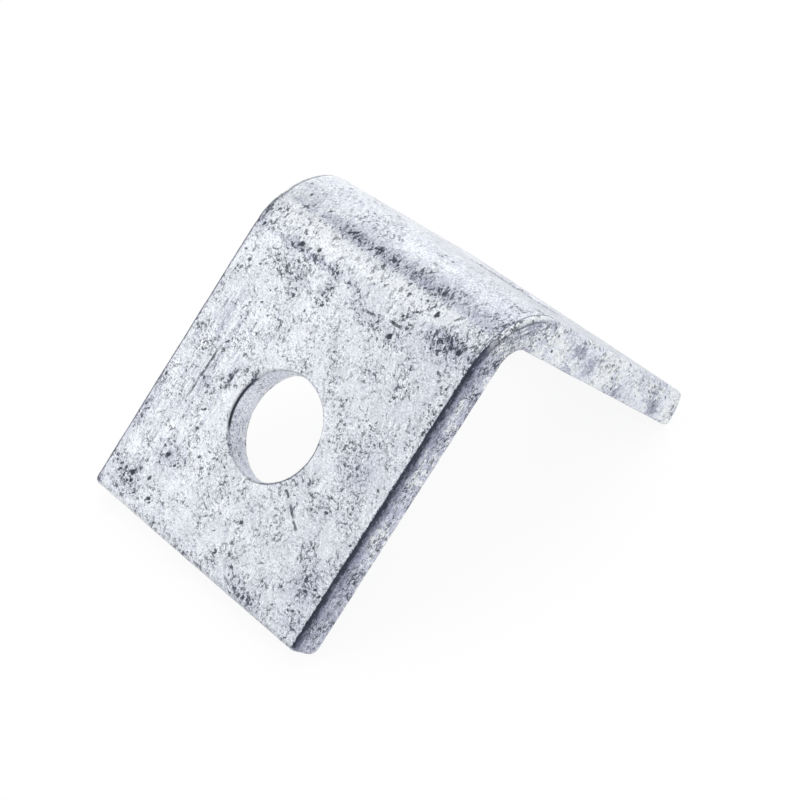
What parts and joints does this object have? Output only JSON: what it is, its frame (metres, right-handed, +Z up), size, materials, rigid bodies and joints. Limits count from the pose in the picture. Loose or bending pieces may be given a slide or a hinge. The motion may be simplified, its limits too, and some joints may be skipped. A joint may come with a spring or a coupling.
{
  "type": "strut angle bracket",
  "caption": "Folded galvanised steel strip with a punched bolt hole in each leg, for joining strut channels at a right angle.",
  "frame": {"origin": "on the surface that the bracket stands on, at the middle of its footprint, halfway along the fold", "axes": "+X along the fold, +Y towards the end of the long leg, +Z up, towards the fold"},
  "size_m": [0.04, 0.07, 0.0347],
  "materials": {
    "galvanised_steel": "hot-dip galvanised, matt pale grey, mottled, with dark specks"
  },
  "bodies": {
    "root": {"angle_bracket": "galvanised_steel"}
  },
  "joints": []
}
